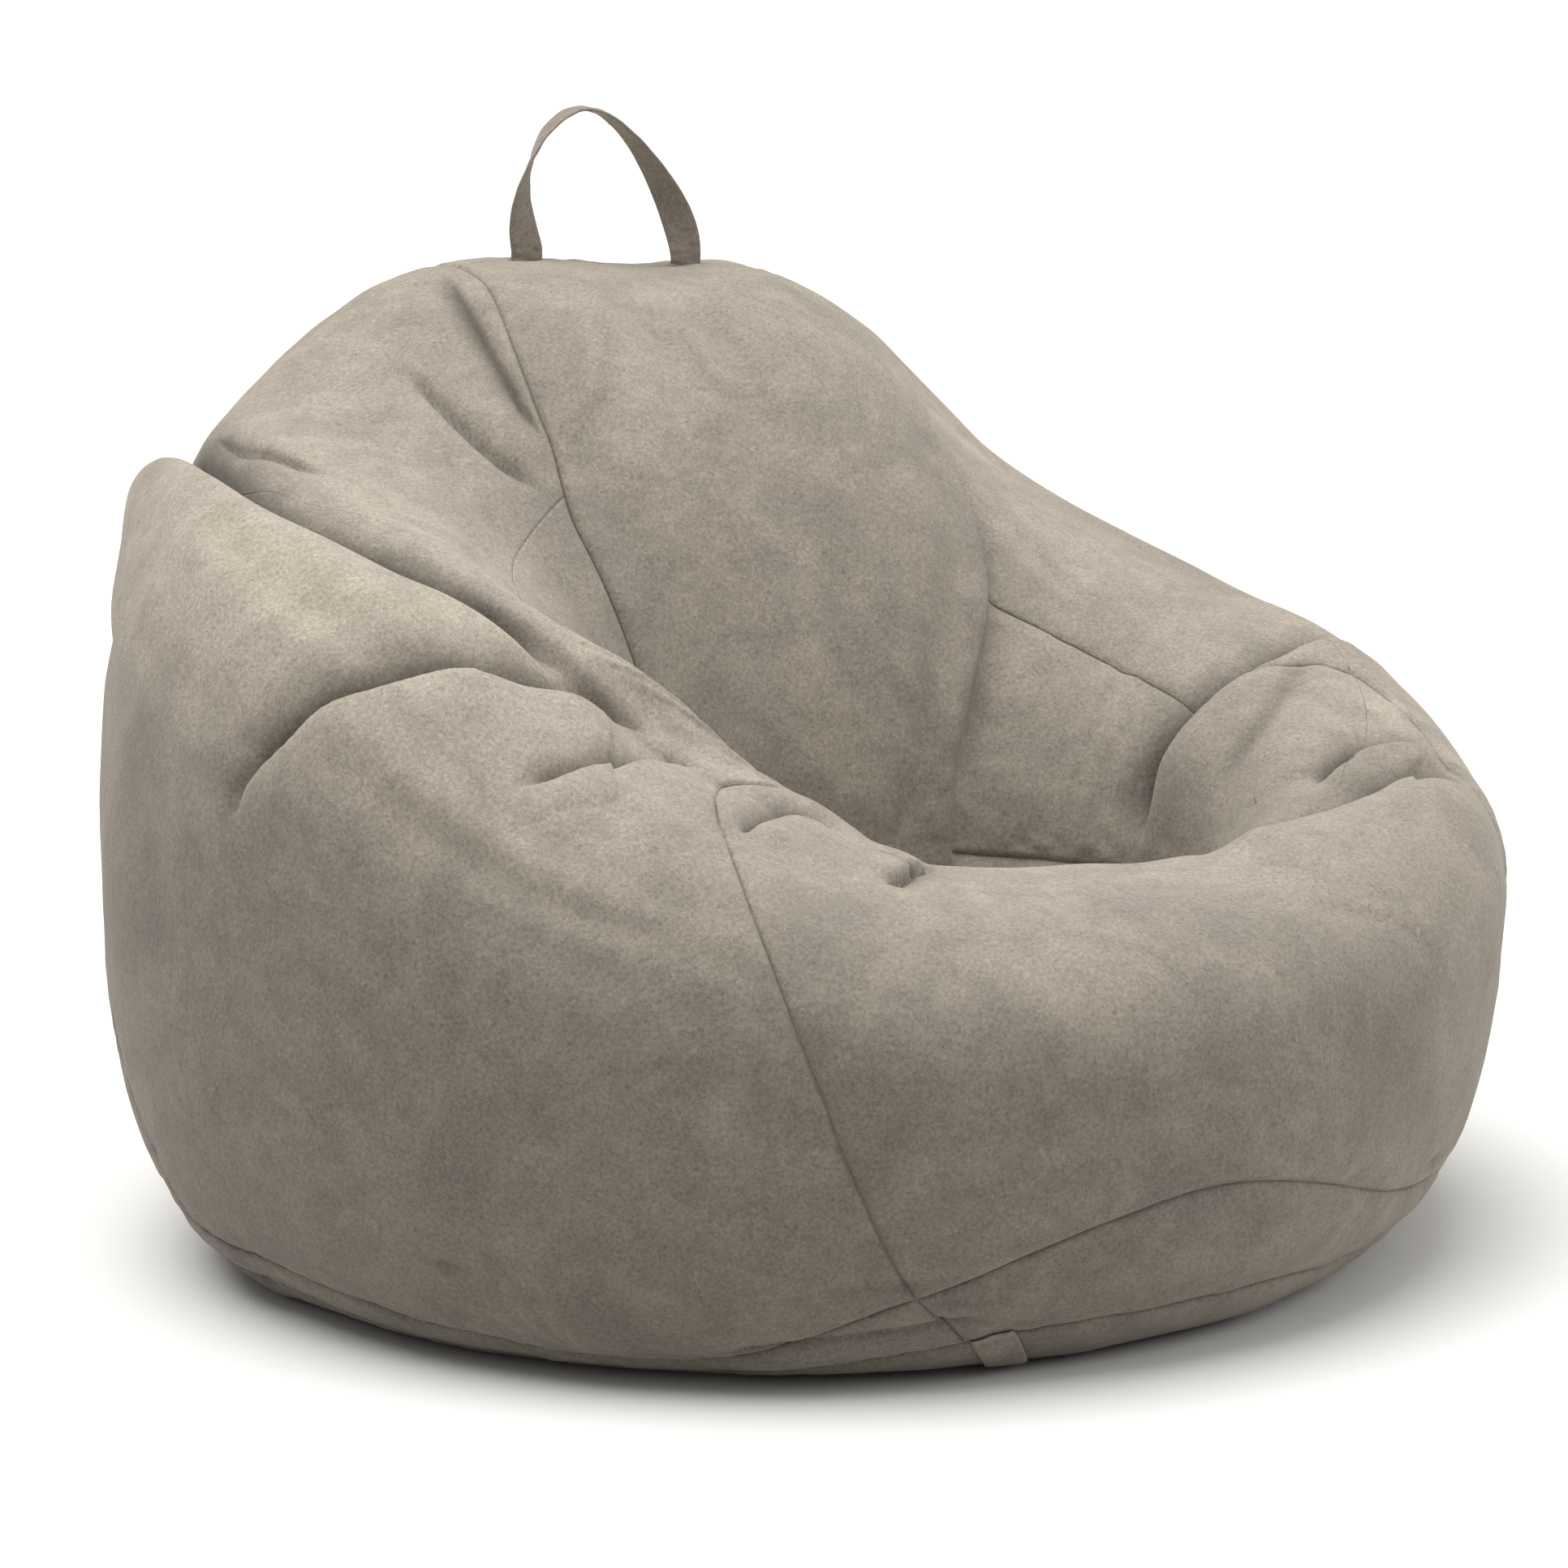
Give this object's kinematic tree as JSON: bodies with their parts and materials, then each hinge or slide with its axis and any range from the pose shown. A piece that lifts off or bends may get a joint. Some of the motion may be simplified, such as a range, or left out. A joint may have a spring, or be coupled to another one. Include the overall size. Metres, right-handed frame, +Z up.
{
  "type": "bean bag chair",
  "caption": "Low slouchy bean bag armchair in sewn faux suede, with a high back, rounded arms, a scooped seat, a strap loop on top and a zip in the base seam.",
  "frame": {"origin": "on the floor, at the centre of the overall box seen from above", "axes": "-Y is the way the sitter faces, +X is to the left hand of a person sitting in it and to the right of someone facing it, +Z is up"},
  "size_m": [1.0004, 0.956, 0.7741],
  "materials": {
    "cover_suede": "matt short-nap faux suede, clouded taupe",
    "strap_suede": "matt faux suede strap",
    "zip_tape": "woven tape",
    "zip_coil": "satin nylon",
    "zip_metal": "satin nickel",
    "liner_cloth": "plain woven",
    "bead_foam": "foam beads"
  },
  "bodies": {
    "bag": {"backrest_seat_panel": "cover_suede", "front_left_panel": "cover_suede", "front_right_panel": "cover_suede", "side_left_panel": "cover_suede", "side_right_panel": "cover_suede", "rear_panel": "cover_suede", "base_band_left": "cover_suede", "base_band_right": "cover_suede", "base_panel": "cover_suede", "seam_tab": "cover_suede", "zip_tape_upper": "zip_tape", "zip_tape_lower": "zip_tape", "zip_coil": "zip_coil", "zip_stop_left": "zip_metal", "zip_stop_right": "zip_metal", "inner_liner": "liner_cloth", "liner_zip_tape_upper": "zip_tape", "liner_zip_tape_lower": "zip_tape", "liner_zip_coil": "zip_coil", "bead_fill": "bead_foam"},
    "handle": {"carry_handle": "strap_suede"},
    "cover_slider": {"zip_slider": "zip_metal"},
    "cover_pull": {"zip_pull": "zip_metal"},
    "liner_slider": {"liner_zip_slider": "zip_metal"}
  },
  "joints": [
    {"name": "handle_flop", "type": "hinge", "parent": "bag", "child": "handle", "pos_m": [-0.092, 0.31653, 0.66922], "axis": [0.9961, 0.0635, -0.0614], "range_deg": [-65, 60]},
    {"name": "zip_travel", "type": "hinge", "parent": "bag", "child": "cover_slider", "pos_m": [0, 0, 0.04242], "axis": [0, 0, 1], "range_deg": [-63.4, 0]},
    {"name": "pull_flip", "type": "hinge", "parent": "cover_slider", "child": "cover_pull", "pos_m": [-0.22828, 0.36961, 0.03876], "axis": [-0.2957, 0.4788, 0.8266], "range_deg": [-180, 0]},
    {"name": "liner_zip_travel", "type": "hinge", "parent": "bag", "child": "liner_slider", "pos_m": [0, 0, 0.14518], "axis": [0, 0, 1], "range_deg": [-47.4, 0]}
  ]
}
